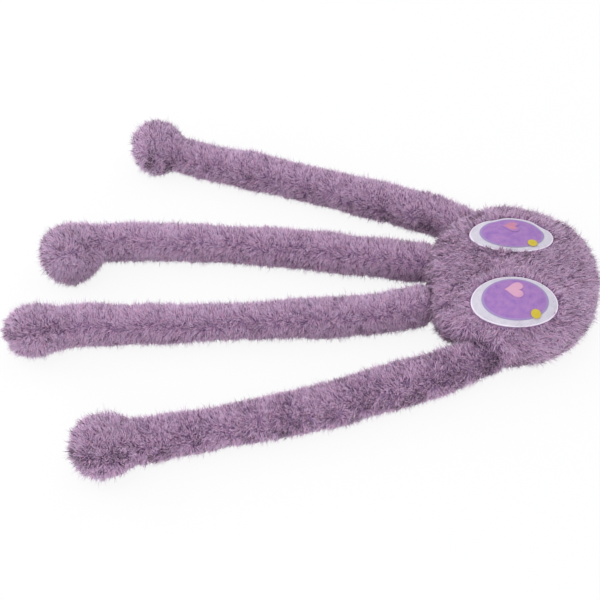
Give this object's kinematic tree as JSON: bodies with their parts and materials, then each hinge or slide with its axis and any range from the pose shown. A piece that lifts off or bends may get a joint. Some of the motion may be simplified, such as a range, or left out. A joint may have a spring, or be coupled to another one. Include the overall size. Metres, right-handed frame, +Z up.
{
  "type": "plush octopus",
  "caption": "Long-pile plush octopus toy lying face up, with a domed stuffed head, felt eye patches and long soft tube arms that end in round paws.",
  "frame": {"origin": "on the floor under the middle of the head, on the flat that the head rests on", "axes": "+X towards the top of the head and away from the arms, +Y towards the toy's right, +Z up out of its face as it lies on its back"},
  "size_m": [0.7008, 0.5433, 0.0788],
  "materials": {
    "plush_mauve": "long-pile plush",
    "filling_fibre": "loose polyester fibre",
    "eye_white_felt": "matte felt",
    "eye_iris_print": "printed felt",
    "eye_heart_print": "printed felt",
    "eye_glint_print": "printed felt"
  },
  "bodies": {
    "head": {"head_face_panel": "plush_mauve", "head_back_panel": "plush_mauve", "head_filling": "filling_fibre", "right_eye_white_patch": "eye_white_felt", "right_eye_iris": "eye_iris_print", "right_eye_heart": "eye_heart_print", "right_eye_glint": "eye_glint_print", "left_eye_white_patch": "eye_white_felt", "left_eye_iris": "eye_iris_print", "left_eye_heart": "eye_heart_print", "left_eye_glint": "eye_glint_print"},
    "right_outer_arm_root": {"right_outer_arm_root_sleeve": "plush_mauve", "right_outer_arm_root_filling": "filling_fibre"},
    "right_outer_arm_upper": {"right_outer_arm_upper_sleeve": "plush_mauve", "right_outer_arm_upper_filling": "filling_fibre"},
    "right_outer_arm_lower": {"right_outer_arm_lower_sleeve": "plush_mauve", "right_outer_arm_lower_filling": "filling_fibre"},
    "right_outer_arm_paw": {"right_outer_arm_paw_cover": "plush_mauve", "right_outer_arm_paw_filling": "filling_fibre"},
    "right_inner_arm_root": {"right_inner_arm_root_sleeve": "plush_mauve", "right_inner_arm_root_filling": "filling_fibre"},
    "right_inner_arm_upper": {"right_inner_arm_upper_sleeve": "plush_mauve", "right_inner_arm_upper_filling": "filling_fibre"},
    "right_inner_arm_lower": {"right_inner_arm_lower_sleeve": "plush_mauve", "right_inner_arm_lower_filling": "filling_fibre"},
    "right_inner_arm_paw": {"right_inner_arm_paw_cover": "plush_mauve", "right_inner_arm_paw_filling": "filling_fibre"},
    "left_inner_arm_root": {"left_inner_arm_root_sleeve": "plush_mauve", "left_inner_arm_root_filling": "filling_fibre"},
    "left_inner_arm_upper": {"left_inner_arm_upper_sleeve": "plush_mauve", "left_inner_arm_upper_filling": "filling_fibre"},
    "left_inner_arm_lower": {"left_inner_arm_lower_sleeve": "plush_mauve", "left_inner_arm_lower_filling": "filling_fibre"},
    "left_inner_arm_paw": {"left_inner_arm_paw_cover": "plush_mauve", "left_inner_arm_paw_filling": "filling_fibre"},
    "left_outer_arm_root": {"left_outer_arm_root_sleeve": "plush_mauve", "left_outer_arm_root_filling": "filling_fibre"},
    "left_outer_arm_upper": {"left_outer_arm_upper_sleeve": "plush_mauve", "left_outer_arm_upper_filling": "filling_fibre"},
    "left_outer_arm_lower": {"left_outer_arm_lower_sleeve": "plush_mauve", "left_outer_arm_lower_filling": "filling_fibre"},
    "left_outer_arm_paw": {"left_outer_arm_paw_cover": "plush_mauve", "left_outer_arm_paw_filling": "filling_fibre"}
  },
  "joints": [
    {"name": "right_outer_arm_swing", "type": "hinge", "parent": "head", "child": "right_outer_arm_root", "pos_m": [-0.06111, 0.10808, 0.021], "axis": [0, 0, 1], "range_deg": [-60, 12]},
    {"name": "right_outer_arm_lift", "type": "hinge", "parent": "right_outer_arm_root", "child": "right_outer_arm_upper", "pos_m": [-0.10982, 0.12629, 0.021], "axis": [0.2672, 0.9636, 0], "range_deg": [-30, 78]},
    {"name": "right_outer_arm_bend", "type": "hinge", "parent": "right_outer_arm_upper", "child": "right_outer_arm_lower", "pos_m": [-0.26381, 0.169, 0.021], "axis": [-0.2334, -0.9724, 0], "range_deg": [-78, 78]},
    {"name": "right_outer_arm_paw_flop", "type": "hinge", "parent": "right_outer_arm_lower", "child": "right_outer_arm_paw", "pos_m": [-0.41919, 0.2063, 0.021], "axis": [-0.1736, -0.9848, 0], "range_deg": [-65, 65]},
    {"name": "right_inner_arm_swing", "type": "hinge", "parent": "head", "child": "right_inner_arm_root", "pos_m": [-0.10827, 0.04012, 0.021], "axis": [0, 0, 1], "range_deg": [-12, 6]},
    {"name": "right_inner_arm_lift", "type": "hinge", "parent": "right_inner_arm_root", "child": "right_inner_arm_upper", "pos_m": [-0.16022, 0.04238, 0.021], "axis": [0.061, 0.9981, 0], "range_deg": [-30, 78]},
    {"name": "right_inner_arm_bend", "type": "hinge", "parent": "right_inner_arm_upper", "child": "right_inner_arm_lower", "pos_m": [-0.33669, 0.05318, 0.021], "axis": [0.0523, -0.9986, 0], "range_deg": [-78, 78]},
    {"name": "right_inner_arm_paw_flop", "type": "hinge", "parent": "right_inner_arm_lower", "child": "right_inner_arm_paw", "pos_m": [-0.51324, 0.04392, 0.021], "axis": [0.6157, -0.788, 0], "range_deg": [-65, 65]},
    {"name": "left_inner_arm_swing", "type": "hinge", "parent": "head", "child": "left_inner_arm_root", "pos_m": [-0.11047, -0.03164, 0.021], "axis": [0, 0, 1], "range_deg": [-6, 12]},
    {"name": "left_inner_arm_lift", "type": "hinge", "parent": "left_inner_arm_root", "child": "left_inner_arm_upper", "pos_m": [-0.15992, -0.04771, 0.021], "axis": [-0.1392, 0.9903, 0], "range_deg": [-30, 78]},
    {"name": "left_inner_arm_bend", "type": "hinge", "parent": "left_inner_arm_upper", "child": "left_inner_arm_lower", "pos_m": [-0.34174, -0.07326, 0.021], "axis": [0.1045, -0.9945, 0], "range_deg": [-78, 78]},
    {"name": "left_inner_arm_paw_flop", "type": "hinge", "parent": "left_inner_arm_lower", "child": "left_inner_arm_paw", "pos_m": [-0.52433, -0.09245, 0.021], "axis": [0.3746, -0.9272, 0], "range_deg": [-65, 65]},
    {"name": "left_outer_arm_swing", "type": "hinge", "parent": "head", "child": "left_outer_arm_root", "pos_m": [-0.05332, -0.11316, 0.021], "axis": [0, 0, 1], "range_deg": [-12, 60]},
    {"name": "left_outer_arm_lift", "type": "hinge", "parent": "left_outer_arm_root", "child": "left_outer_arm_upper", "pos_m": [-0.09858, -0.13876, 0.021], "axis": [-0.3746, 0.9272, 0], "range_deg": [-30, 78]},
    {"name": "left_outer_arm_bend", "type": "hinge", "parent": "left_outer_arm_upper", "child": "left_outer_arm_lower", "pos_m": [-0.25462, -0.20181, 0.021], "axis": [0.284, -0.9588, 0], "range_deg": [-78, 78]},
    {"name": "left_outer_arm_paw_flop", "type": "hinge", "parent": "left_outer_arm_lower", "child": "left_outer_arm_paw", "pos_m": [-0.41599, -0.24961, 0.021], "axis": [0.3907, -0.9205, 0], "range_deg": [-65, 65]}
  ]
}
